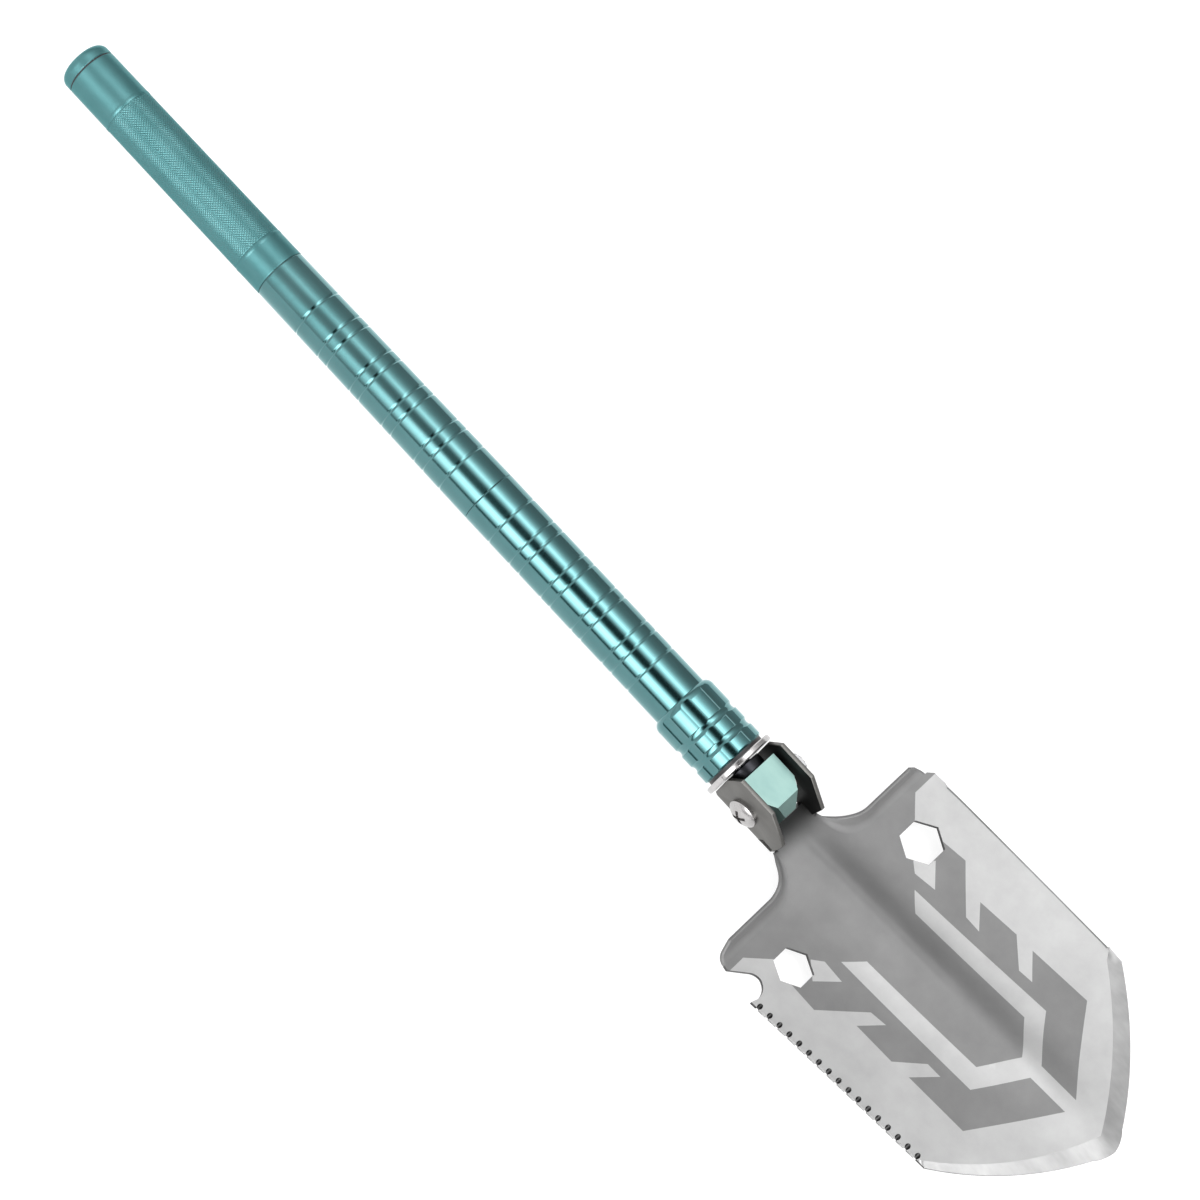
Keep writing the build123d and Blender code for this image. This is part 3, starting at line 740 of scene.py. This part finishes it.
def rim_edges(kept):
    """Sides of the kept triangles that have no neighbour."""
    sides = []
    for triangle, kind, slot in kept:
        sides += zip(triangle, triangle[1:] + triangle[:1])
    present = set(sides)
    return [(start, end) for start, end in sides if (end, start) not in present]


def corners_of(kept, wanted):
    """Corners of all triangles of one kind."""
    return {corner for triangle, kind, slot in kept if kind == wanted for corner in triangle}


def ground_off(x, y, kind):
    """How much is ground off the front at a point of a bevel or knife edge."""
    if kind == "bevel":
        to_line = min(distance_to((x, y), RIGHT_BEVEL), distance_to((x, y), LEFT_BEVEL))
        to_edge = distance_to((x, y), BEVEL_OUTLINE)
        return POINT_BEVEL_DEPTH * to_line / max(to_line + to_edge, 0.001)
    if kind == "knife":
        return KNIFE_DEPTH * clamp((y - half_width(x) + KNIFE_WIDTH) / KNIFE_WIDTH)
    return 0.0


def in_saw(x, y):
    """Whether a corner of the rim belongs to the saw."""
    return GULLETS_START - SAW_MARGIN < x < GULLETS_END + SAW_MARGIN and y < SAW_OUTSIDE_Y


def blade_plate():
    """The blade's plate as one closed mesh: patterned front, ground edges, saw gullets and back."""
    corners, kept = blade_front()
    rim = rim_edges(kept)
    rim_corners = {corner for edge in rim for corner in edge}
    bevel_corners = corners_of(kept, "bevel")
    knife_corners = corners_of(kept, "knife")
    mesh = bmesh.new()
    front = {}
    middle = {}
    back = {}
    tooth_tops = set()
    for corner in dict.fromkeys(corner for triangle, kind, slot in kept for corner in triangle):
        x, y = corners[corner]
        kind = "bevel" if corner in bevel_corners else "knife" if corner in knife_corners else "face"
        top = blade_height(x, y) - crease_line(x, y)
        inset = 0.0
        if corner in rim_corners and in_saw(x, y):
            inset = max(y + half_width(x), 0.0)
            if inset < TOOTH_TOP_DEPTH:
                tooth_tops.add(corner)
        bottom_y = y - min(inset, PLATE)
        front[corner] = mesh.verts.new(place(x, y, top - ground_off(x, y, kind)))
        middle[corner] = front[corner]
        if inset > GULLET_SMALLEST:
            step = min(inset, PLATE * GULLET_DEEPEST)
            middle[corner] = mesh.verts.new(place(x, bottom_y, top - step))
        bottom = (x, bottom_y, blade_height(x, bottom_y) - PLATE)
        if x < FLOOR_START + SAME_PLACE:
            bottom = (NECK_LIP_X, bottom_y, NECK_LIP_BOTTOM)
        back[corner] = mesh.verts.new(place(*bottom))

    kinds = {}

    def add_face(corners_of_face, kind, slot):
        unique = list(dict.fromkeys(corners_of_face))
        if len(unique) < 3:
            return
        face = mesh.faces.new(unique)
        face.smooth = True
        face.material_index = slot
        kinds[face] = kind

    for triangle, kind, slot in kept:
        add_face([front[corner] for corner in triangle], kind, slot)
        add_face([back[corner] for corner in reversed(triangle)], "back", GREY)
    for start, end in rim:
        wall = "gullet" if middle[start] is not front[start] or middle[end] is not front[end] else "wall"
        # The straight walls between the gullets keep a light steel colour; the gullets and all other cut
        # walls get the near-black painted shade
        slot = LIGHT if start in tooth_tops and end in tooth_tops else CUT
        add_face([front[end], front[start], middle[start], middle[end]], wall, slot)
        add_face([middle[end], middle[start], back[start], back[end]], "wall", slot)
    for edge in mesh.edges:
        edge.smooth = len({kinds[face] for face in edge.link_faces}) == 1
        if edge.smooth and kinds[edge.link_faces[0]] == "wall":
            edge.smooth = edge.calc_face_angle(0) < math.radians(SHARP_CUT)
    return finished(mesh, "blade_plate", [steel_grey, steel_light, steel_ground, steel_cut_shade])


def finished(mesh, name, materials):
    """A mesh object from a bmesh, closed and with its faces turned outwards."""
    bmesh.ops.recalc_face_normals(mesh, faces=mesh.faces)
    data = bpy.data.meshes.new(name)
    mesh.to_mesh(data)
    mesh.free()
    for material in materials:
        data.materials.append(material)
    piece = bpy.data.objects.new(name, data)
    bpy.context.scene.collection.objects.link(piece)
    return piece


def foot_step(side, name):
    """Foot step: a thinner sheet that leaves the plate tangentially and turns up at its edge."""
    columns = 60
    rows = 16
    mesh = bmesh.new()
    points = []
    for column in range(columns + 1):
        share = column / columns
        line = []
        for row in range(-2, rows + 1):
            reach, rise = step_section(max(row, 0) / rows)
            end_cut = STEP_END_BEVEL * rise / FULL_RISE / (STEP_END - NECK_CURVE_Y)
            edge, outward, turned_up = step_line(share * (1 - end_cut * share ** 4))
            inward = step_width(turned_up) * (1 - reach / FULL_REACH) - min(row, 0) * STEP_ROOT / 2
            point = edge - outward * inward
            height = blade_height(point.x, point.y) - STEP_INSET + rise * turned_up
            line.append(place(point.x, side * point.y, height))
        points.append(line)
    front = [[mesh.verts.new(point) for point in line] for line in points]
    back = []
    for column, line in enumerate(points):
        back_line = []
        for row, point in enumerate(line):
            along = points[min(column + 1, columns)][row] - points[max(column - 1, 0)][row]
            across = line[min(row + 1, len(line) - 1)] - line[max(row - 1, 0)]
            normal = along.cross(across).normalized()
            if normal.z < 0:
                normal = -normal
            back_line.append(mesh.verts.new(point - normal * STEP_SHEET * MM))
        back.append(back_line)
    last = len(points[0]) - 1
    for column in range(columns):
        for row in range(last):
            for sheet in (front, back):
                this, following = sheet[column], sheet[column + 1]
                mesh.faces.new([this[row], following[row], following[row + 1], this[row + 1]])
        for row in (0, last):
            ahead, behind = front[column + 1][row], back[column + 1][row]
            mesh.faces.new([front[column][row], ahead, behind, back[column][row]])
    for column in (0, columns):
        for row in range(last):
            upper, lower = front[column], back[column]
            mesh.faces.new([upper[row], upper[row + 1], lower[row + 1], lower[row]])
    for face in mesh.faces:
        face.smooth = True
    for edge in mesh.edges:
        edge.smooth = edge.calc_face_angle(0) < math.radians(SHARP_SHEET)
    return finished(mesh, name, [steel_grey])


def flat_plate(name, loops, thickness, edge_round):
    """Plate cut to loops in its own XY plane, with rounded edges, centred on that plane."""
    curve = bpy.data.curves.new(name, "CURVE")
    curve.dimensions = "2D"
    curve.fill_mode = "BOTH"
    curve.extrude = (thickness / 2 - edge_round) * MM
    curve.bevel_depth = edge_round * MM
    curve.bevel_resolution = 2
    curve.offset = -edge_round * MM
    for loop in loops:
        spline = curve.splines.new("POLY")
        spline.points.add(len(loop) - 1)
        for point, (x, y) in zip(spline.points, loop):
            point.co = (x * MM, y * MM, 0, 1)
        spline.use_cyclic_u = True
    source = bpy.data.objects.new(name + "_curve", curve)
    bpy.context.scene.collection.objects.link(source)
    bpy.context.view_layer.update()
    evaluated = source.evaluated_get(bpy.context.evaluated_depsgraph_get())
    data = bpy.data.meshes.new_from_object(evaluated)
    bpy.data.objects.remove(source)
    mesh = bmesh.new()
    mesh.from_mesh(data)
    bpy.data.meshes.remove(data)
    bmesh.ops.remove_doubles(mesh, verts=mesh.verts, dist=0.002 * MM)
    for edge in mesh.edges:
        edge.smooth = edge.calc_face_angle(0) < math.radians(SHARP_SHEET)
    for face in mesh.faces:
        face.smooth = True
    return mesh


def circle_points(radius, count):
    """Points evenly round a circle about the bolt."""
    points = []
    for number in range(count):
        angle = 2 * math.pi * number / count
        points.append((radius * math.cos(angle), radius * math.sin(angle)))
    return points


def ear(side, name):
    """Hinge ear bent up from the neck, with a round hole for the bolt."""
    outline = [
        (EAR_BACK, EAR_BOTTOM + 1.5),
        (EAR_BACK + 1.5, EAR_BOTTOM),
        (23.5, EAR_BOTTOM),
        (24.6, EAR_BOTTOM + 3),
        (26.0, 5.0),
        (10.5, EAR_TOP),
        (-12.0, EAR_TOP),
        (EAR_BACK, 10.5),
    ]
    loops = [outline, circle_points(BOLT_HOLE_RADIUS, 48)]
    edge_round = 0.35
    mesh = flat_plate(name, loops, PLATE, edge_round)
    centre = side * (EAR_OUTSIDE - PLATE / 2)
    stand_up = Matrix(((1, 0, 0), (0, 0, -1), (0, 1, 0))).to_4x4()
    mesh.transform(Matrix.Translation(place(0, centre, 0)) @ stand_up)
    inside = (EAR_OUTSIDE - PLATE + SAME_PLACE) * MM
    # Inner faces take the near-black slot, which is painted shade; the rest of the ear keeps the plain
    # steel
    for face in mesh.faces:
        face.material_index = 1 if max(vertex.co.y * side for vertex in face.verts) < inside else 0
    return finished(mesh, name, [steel_ear, steel_ear_inside_shade])


blade_pieces = [
    blade_plate(),
    foot_step(1, "foot_step_right"),
    foot_step(-1, "foot_step_left"),
    ear(1, "ear_right"),
    ear(-1, "ear_left"),
]
for piece in blade_pieces:
    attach(piece, "blade")
    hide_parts("blade")


# ---------------------------------------------------------------- handle
def handle_radius(x):
    """Outside radius of the handle, which tapers from the lower joint to the cap."""
    if x > LOWER_JOINT:
        return HANDLE_RADIUS
    if x > UPPER_JOINT:
        share = (LOWER_JOINT - x) / (LOWER_JOINT - UPPER_JOINT)
        return HANDLE_RADIUS + share * (UPPER_JOINT_RADIUS - HANDLE_RADIUS)
    share = (UPPER_JOINT - x) / (UPPER_JOINT - CAP_JOINT)
    return UPPER_JOINT_RADIUS + share * (CAP_RADIUS - UPPER_JOINT_RADIUS)


def grooved_profile(start, end, grooves):
    """Outside of a tube from start to end, with rounded ends and round-bottomed grooves.

    Corners just outside the grooves and the rounded ends keep the shading of the rest straight.
    """
    edge = 0.3
    holding = 0.3
    outside = [(start, handle_radius(start) - edge), (start + edge / 3, handle_radius(start) - edge / 3)]
    outside += [(start + edge, handle_radius(start)), (start + edge + holding, handle_radius(start))]
    steps = 10
    for centre in sorted(grooves):
        surface = handle_radius(centre)
        outside.append((centre - GROOVE_WIDTH / 2 - holding, surface))
        for number in range(steps + 1):
            share = number / steps
            depth = GROOVE_DEPTH * (1 - math.cos(2 * math.pi * share)) / 2
            outside.append((centre + GROOVE_WIDTH * (share - 0.5), surface - depth))
        outside.append((centre + GROOVE_WIDTH / 2 + holding, surface))
    outside += [(end - edge - holding, handle_radius(end)), (end - edge, handle_radius(end))]
    outside.append((end - edge / 3, handle_radius(end) - edge / 3))
    outside.append((end, handle_radius(end) - edge))
    return outside


def around_axis(x, radius, number, count):
    """One of a count of points spread evenly around the handle's axis."""
    angle = 2 * math.pi * number / count
    return place(x, radius * math.sin(angle), radius * math.cos(angle))


def lathe(name, profile, material):
    """A closed profile of (x, radius) corners turned around the handle's axis."""
    segments = 144
    mesh = bmesh.new()
    rings = []
    for number in range(segments):
        ring = [around_axis(x, radius, number, segments) for x, radius in profile]
        rings.append([mesh.verts.new(point) for point in ring])
    count = len(profile)
    for number in range(segments):
        this, following = rings[number], rings[(number + 1) % segments]
        for corner in range(count):
            after = (corner + 1) % count
            face = mesh.faces.new([this[corner], this[after], following[after], following[corner]])
            face.smooth = True
    for edge in mesh.edges:
        edge.smooth = edge.calc_face_angle(0) < math.radians(SHARP_TURNED)
    return finished(mesh, name, [material])


def groove_places(pairs, singles):
    """Centres of all turned grooves of a section."""
    places = list(singles)
    for middle in pairs:
        places += [middle - GROOVE_SPACING / 2, middle + GROOVE_SPACING / 2]
    return places


def tube(name, start, end, bore, grooves):
    """Grooved handle tube with a plain bore."""
    outside = grooved_profile(start, end, grooves)
    return lathe(name, [(start, bore)] + outside + [(end, bore)], teal)


def knurled_band():
    """Diamond knurl of the grip: pyramids between helical valleys, on a thin sleeve of its own."""
    start = KNURL_START + KNURL_BORDER
    length = KNURL_END - KNURL_BORDER - start
    columns = round(length / KNURL_HALF_PITCH / 2) * 2
    mesh = bmesh.new()
    rows = []
    for column in range(columns + 1):
        x = start + length * column / columns
        ring = []
        for number in range(KNURL_TURNS):
            peak = (column + number) % 2 == 0 and 0 < column < columns
            radius = handle_radius(x) - (KNURL_PEAK_DEPTH if peak else KNURL_DEPTH)
            ring.append(mesh.verts.new(around_axis(x, radius, number, KNURL_TURNS)))
        rows.append(ring)
    inner = []
    for column in (0, columns):
        x = start + length * column / columns
        radius = handle_radius(x) - KNURL_SLEEVE
        ring = [around_axis(x, radius, number, KNURL_TURNS) for number in range(KNURL_TURNS)]
        inner.append([mesh.verts.new(point) for point in ring])
    for column in range(columns):
        for number in range(KNURL_TURNS):
            after = (number + 1) % KNURL_TURNS
            this, following = rows[column], rows[column + 1]
            square = [this[number], following[number], following[after], this[after]]
            if (column + number) % 2 == 0:
                square = square[1:] + square[:1]
            mesh.faces.new([square[0], square[1], square[2]])
            mesh.faces.new([square[0], square[2], square[3]])
    for number in range(KNURL_TURNS):
        after = (number + 1) % KNURL_TURNS
        mesh.faces.new([rows[0][number], rows[0][after], inner[0][after], inner[0][number]])
        mesh.faces.new([rows[-1][after], rows[-1][number], inner[1][number], inner[1][after]])
        mesh.faces.new([inner[0][number], inner[0][after], inner[1][after], inner[1][number]])
    return finished(mesh, "grip_knurl", [teal_grip])


def grip_sleeve():
    """Smooth grip tube with two raised borders and a lower seat between them for the knurl."""
    start = CAP_JOINT + CAP_GAP
    end = UPPER_JOINT - UPPER_GAP
    seat_start = KNURL_START + KNURL_BORDER
    seat_end = KNURL_END - KNURL_BORDER
    border = 0.12
    slope = 0.2
    round_off = 0.3
    lip = 0.1
    seat = 0.8
    outside = grooved_profile(start, KNURL_START, [])[:-2]
    outside.append((KNURL_START + slope, handle_radius(KNURL_START) + border))
    outside.append((seat_start - round_off, handle_radius(seat_start) + border))
    outside.append((seat_start, handle_radius(seat_start) - lip))
    outside.append((seat_start, handle_radius(seat_start) - seat))
    outside.append((seat_end, handle_radius(seat_end) - seat))
    outside.append((seat_end, handle_radius(seat_end) - lip))
    outside.append((seat_end + round_off, handle_radius(seat_end) + border))
    outside.append((KNURL_END - slope, handle_radius(KNURL_END) + border))
    outside += grooved_profile(KNURL_END, end, [])[2:]
    return lathe("grip_sleeve", [(start, GRIP_BORE)] + outside + [(end, GRIP_BORE)], teal_grip)


LOWER_GROOVES = groove_places(LOWER_GROOVE_PAIRS, LOWER_SINGLE_GROOVES)
MIDDLE_GROOVES = groove_places(MIDDLE_GROOVE_PAIRS, MIDDLE_SINGLE_GROOVES)
middle_start = UPPER_JOINT + UPPER_GAP
middle_end = LOWER_JOINT - LOWER_GAP
lower_tube = tube("lower_tube_turned", LOWER_JOINT + LOWER_GAP, LOWER_END, LOWER_BORE, LOWER_GROOVES)
middle_tube = tube("middle_tube_turned", middle_start, middle_end, MIDDLE_BORE, MIDDLE_GROOVES)
handle_pieces = [
    (lower_tube, "handle_lower", "lower_tube"),
    (middle_tube, "middle_section", "middle_tube"),
    (grip_sleeve(), "grip_section", "grip_tube"),
    (knurled_band(), "grip_section", "grip_tube"),
]
for piece, body_name, node_name in handle_pieces:
    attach(piece, body_name)
    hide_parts(node_name)


# ---------------------------------------------------------------- floor and light
FLOOR_GLOW = 0.80
BRIGHTEST = 8.0
# Brightness around the handle, as angles from straight up towards +Y. Beside the blade and the lower
# handle two softboxes leave a black gap. Beside the grip the light is more even.
NEAR_SURROUNDINGS = [
    (-180, 0.14),
    (-91, 0.14),
    (-90, 0.01),
    (-84, 0.01),
    (-76, 0.34),
    (-66, 0.78),
    (-57, 1.00),
    (-49, 0.82),
    (-41, 0.27),
    (-35, 0.02),
    (-27, 0.00),
    (-15, 0.01),
    (-8, 0.14),
    (0, 0.46),
    (8, 0.82),
    (17, 0.46),
    (26, 0.23),
    (36, 0.13),
    (48, 0.08),
    (68, 0.06),
    (90, 0.05),
]
FAR_SURROUNDINGS = [
    (-180, 0.14),
    (-85, 0.14),
    (-70, 0.16),
    (-55, 0.19),
    (-40, 0.16),
    (-22, 0.12),
    (-10, 0.14),
    (0, 0.22),
    (9, 0.26),
    (20, 0.19),
    (35, 0.12),
    (60, 0.08),
    (90, 0.07),
]
FAR_START = -0.13
FAR_END = -0.23


def pale_floor():
    """A plain white table, lit from below as well so that it stays white in the shadows."""
    bpy.ops.mesh.primitive_plane_add(size=8, location=(0, 0, 0))
    floor = bpy.context.object
    floor.name = "floor"
    material, shader = new_material("floor")
    shader.inputs["Roughness"].default_value = 0.9
    shader.inputs["Emission Color"].default_value = (1, 1, 1, 1)
    shader.inputs["Emission Strength"].default_value = FLOOR_GLOW
    paint = noise(material, (0.002, 0.002, 0.002))
    pale = colours(material, paint, (0.28, 0.28, 0.28), (0.30, 0.30, 0.30))
    link(material, pale, shader.inputs["Base Color"])
    floor.data.materials.append(material)


def surroundings(world, turn, stops):
    """Brightness by the angle around the handle."""
    ramp = add(world, "ShaderNodeValToRGB")
    elements = ramp.color_ramp.elements
    elements.remove(elements[1])
    for number, (degrees, brightness) in enumerate(stops):
        position = (degrees + 180) / 360
        element = elements[0] if number == 0 else elements.new(position)
        element.position = position
        element.color = (brightness, brightness, brightness, 1)
    link(world, turn, ramp.inputs["Fac"])
    return ramp.outputs["Color"]


def studio_light():
    """Soft light from all round, with long softboxes that run along the handle."""
    world = bpy.data.worlds.new("studio")
    bpy.context.scene.world = world
    world.use_nodes = True
    background = world.node_tree.nodes["Background"]
    background.inputs["Strength"].default_value = BRIGHTEST
    direction = add(world, "ShaderNodeTexCoord")
    parts = add(world, "ShaderNodeSeparateXYZ")
    link(world, direction.outputs["Generated"], parts.inputs["Vector"])
    angle = add(world, "ShaderNodeMath", operation="ARCTAN2")
    link(world, parts.outputs["Y"], angle.inputs[0])
    link(world, parts.outputs["Z"], angle.inputs[1])
    turn = add(world, "ShaderNodeMapRange")
    turn.inputs["From Min"].default_value = -math.pi
    turn.inputs["From Max"].default_value = math.pi
    link(world, angle.outputs["Value"], turn.inputs["Value"])
    towards_grip = add(world, "ShaderNodeMapRange", interpolation_type="SMOOTHSTEP")
    towards_grip.inputs["From Min"].default_value = FAR_START
    towards_grip.inputs["From Max"].default_value = FAR_END
    link(world, parts.outputs["X"], towards_grip.inputs["Value"])
    mix = add(world, "ShaderNodeMix", data_type="RGBA")
    link(world, towards_grip.outputs["Result"], mix.inputs["Factor"])
    link(world, surroundings(world, turn.outputs["Result"], NEAR_SURROUNDINGS), mix.inputs[6])
    link(world, surroundings(world, turn.outputs["Result"], FAR_SURROUNDINGS), mix.inputs[7])
    link(world, mix.outputs[2], background.inputs["Color"])
    show_plain_wall(world, background)


def show_plain_wall(world, background):
    """Past the floor the eye sees a plain pale wall, and the softboxes only give light."""
    wall = add(world, "ShaderNodeBackground")
    wall.inputs["Color"].default_value = (1, 1, 1, 1)
    wall.inputs["Strength"].default_value = 1.0
    seen = add(world, "ShaderNodeLightPath")
    choice = add(world, "ShaderNodeMixShader")
    link(world, seen.outputs["Is Camera Ray"], choice.inputs["Fac"])
    link(world, background.outputs["Background"], choice.inputs[1])
    link(world, wall.outputs["Background"], choice.inputs[2])
    link(world, choice.outputs["Shader"], world.node_tree.nodes["World Output"].inputs["Surface"])


pale_floor()
studio_light()

# ---------------------------------------------------------------- camera
CAMERA_DISTANCE = 1610.0
CAMERA_TILT = math.radians(27.01)
CAMERA_X = 14.1
CAMERA_TURN = Vector((-0.28, -5.09, -1.90)) * math.radians(1)
LENS = 94.8
SENSOR_WIDTH = 36.0
FURTHEST_SEEN = 20

straight_back = Vector((0, -math.sin(CAMERA_TILT), math.cos(CAMERA_TILT)))
along_handle = Vector((1, 0, 0))
across_handle = straight_back.cross(along_handle)
level = Matrix((along_handle, across_handle, straight_back))
turned = Matrix.Rotation(CAMERA_TURN.length, 3, CAMERA_TURN.normalized()) @ level
right = (turned[0] + turned[1]).normalized()
up = (turned[1] - turned[0]).normalized()
camera_data = bpy.data.cameras.new("camera")
camera_data.lens = LENS
camera_data.sensor_width = SENSOR_WIDTH
camera = bpy.data.objects.new("camera", camera_data)
bpy.context.scene.collection.objects.link(camera)
eye = place(CAMERA_X, 0, 0) + straight_back * CAMERA_DISTANCE * MM
camera.matrix_world = Matrix.Translation(eye) @ Matrix((right, up, turned[2])).transposed().to_4x4()
camera_data.clip_end = FURTHEST_SEEN
bpy.context.scene.camera = camera
bpy.context.scene.view_settings.view_transform = "Standard"
